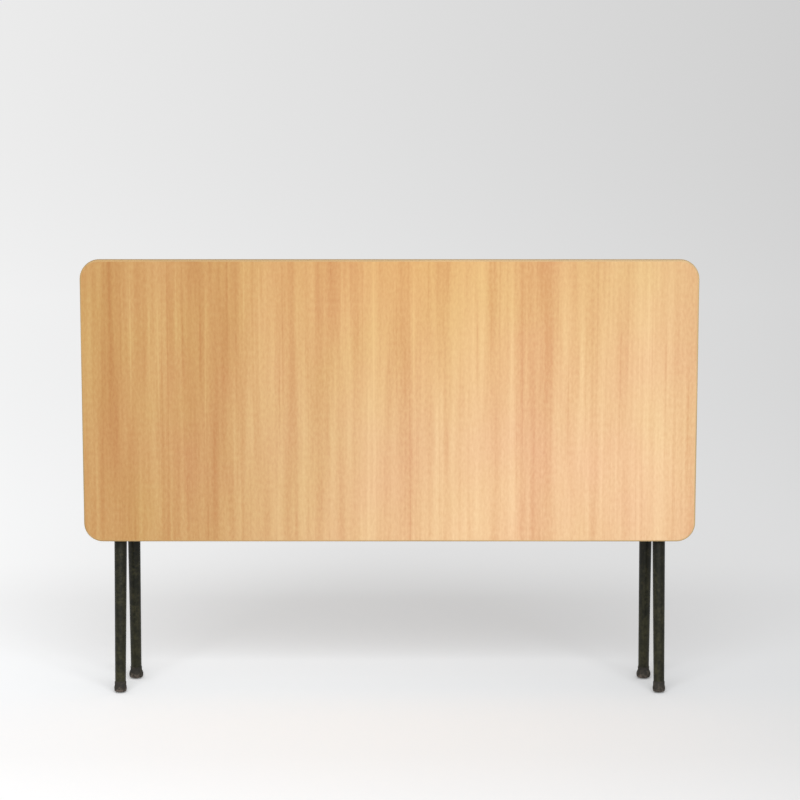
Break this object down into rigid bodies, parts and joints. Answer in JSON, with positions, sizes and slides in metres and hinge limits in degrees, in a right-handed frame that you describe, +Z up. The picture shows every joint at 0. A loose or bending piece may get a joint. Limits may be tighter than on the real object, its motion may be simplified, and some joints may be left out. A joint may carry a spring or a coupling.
{
  "type": "folding trestle table",
  "caption": "Folding trestle table with a tip-up veneered top, tapered tube legs swinging on a shared spine, slotted stays and pin locks, standing folded with the top upright.",
  "frame": {"origin": "on the floor, in the middle of the folded table's bounding box", "axes": "+X along the table to the right, +Y from front to back, +Z up"},
  "size_m": [1.4, 0.2342, 0.999],
  "materials": {
    "face_veneer": "satin clear lacquer over straight-grained light veneer",
    "lipping_wood": "satin lacquered solid wood lipping",
    "core_board": "raw blockboard",
    "backing_veneer": "matt plain veneer",
    "batten_wood": "matt planed hardwood",
    "frame_paint": "satin dark green-black paint",
    "foot_rubber": "matt dark grey-brown rubber",
    "zinc_steel": "zinc plated steel",
    "knob_plastic": "black moulded knob"
  },
  "bodies": {
    "spine": {"spine_tube": "frame_paint", "spine_plugs": "zinc_steel", "pivot_bolts": "zinc_steel", "eye_spacers": "zinc_steel", "thrust_washers": "zinc_steel"},
    "rear_frame": {"rear_leg_left": "frame_paint", "rear_leg_right": "frame_paint", "rear_stretcher": "frame_paint", "rear_foot_left": "foot_rubber", "rear_foot_right": "foot_rubber", "stay_studs": "zinc_steel"},
    "front_frame": {"front_leg_left": "frame_paint", "front_leg_right": "frame_paint", "front_stretcher": "frame_paint", "front_foot_left": "foot_rubber", "front_foot_right": "foot_rubber", "index_plate_left": "frame_paint", "index_plate_right": "frame_paint", "stay_pivots": "zinc_steel", "cap_nuts": "zinc_steel"},
    "top": {"top_board": "core_board", "face_veneer": "face_veneer", "backing_veneer": "backing_veneer", "edge_lipping": "lipping_wood", "batten_front": "batten_wood", "batten_back": "batten_wood", "batten_screws": "zinc_steel", "top_bracket_left": "frame_paint", "top_bracket_right": "frame_paint", "bracket_screws": "zinc_steel", "rest_buffers": "foot_rubber", "lock_barrel_left": "zinc_steel", "lock_barrel_right": "zinc_steel"},
    "stay_left": {"stay_left": "zinc_steel"},
    "stay_right": {"stay_right": "zinc_steel"},
    "lock_left": {"lock_pin_left": "zinc_steel", "lock_knob_left": "knob_plastic"},
    "lock_right": {"lock_pin_right": "zinc_steel", "lock_knob_right": "knob_plastic"},
    "wing_nut_left": {"wing_nut_left": "zinc_steel"},
    "wing_nut_right": {"wing_nut_right": "zinc_steel"}
  },
  "joints": [
    {"name": "rear_legs_swing", "type": "hinge", "parent": "spine", "child": "rear_frame", "pos_m": [0, 0.0204, 0.674], "axis": [1, 0, 0], "range_deg": [0, 16.27]},
    {"name": "front_legs_swing", "type": "hinge", "parent": "spine", "child": "front_frame", "pos_m": [0, 0.0204, 0.674], "axis": [-1, 0, 0], "range_deg": [0, 9]},
    {"name": "top_tip", "type": "hinge", "parent": "front_frame", "child": "top", "pos_m": [0, 0.0204, 0.674], "axis": [-1, 0, 0], "range_deg": [0, 81]},
    {"name": "stay_left_turn", "type": "hinge", "parent": "front_frame", "child": "stay_left", "pos_m": [-0.575, -0.01604, 0.47735], "axis": [1, 0, 0], "range_deg": [0, 12.63]},
    {"name": "stay_right_turn", "type": "hinge", "parent": "front_frame", "child": "stay_right", "pos_m": [0.575, -0.01604, 0.47735], "axis": [1, 0, 0], "range_deg": [0, 12.63]},
    {"name": "lock_left_slide", "type": "slide", "parent": "top", "child": "lock_left", "axis": [1, 0, 0], "range_m": [0, 0.006]},
    {"name": "lock_right_slide", "type": "slide", "parent": "top", "child": "lock_right", "axis": [-1, 0, 0], "range_m": [0, 0.006]},
    {"name": "wing_nut_left_spin", "type": "hinge", "parent": "rear_frame", "child": "wing_nut_left", "pos_m": [-0.567, 0.02128, 0.474], "axis": [1, 0, 0], "continuous": true},
    {"name": "wing_nut_right_spin", "type": "hinge", "parent": "rear_frame", "child": "wing_nut_right", "pos_m": [0.567, 0.02128, 0.474], "axis": [1, 0, 0], "continuous": true}
  ],
  "couplings": [
    {"joint": "front_legs_swing", "follows": "rear_legs_swing", "ratio": 0.55316},
    {"joint": "stay_left_turn", "follows": "rear_legs_swing", "ratio": 0.77658},
    {"joint": "stay_right_turn", "follows": "rear_legs_swing", "ratio": 0.77658}
  ]
}
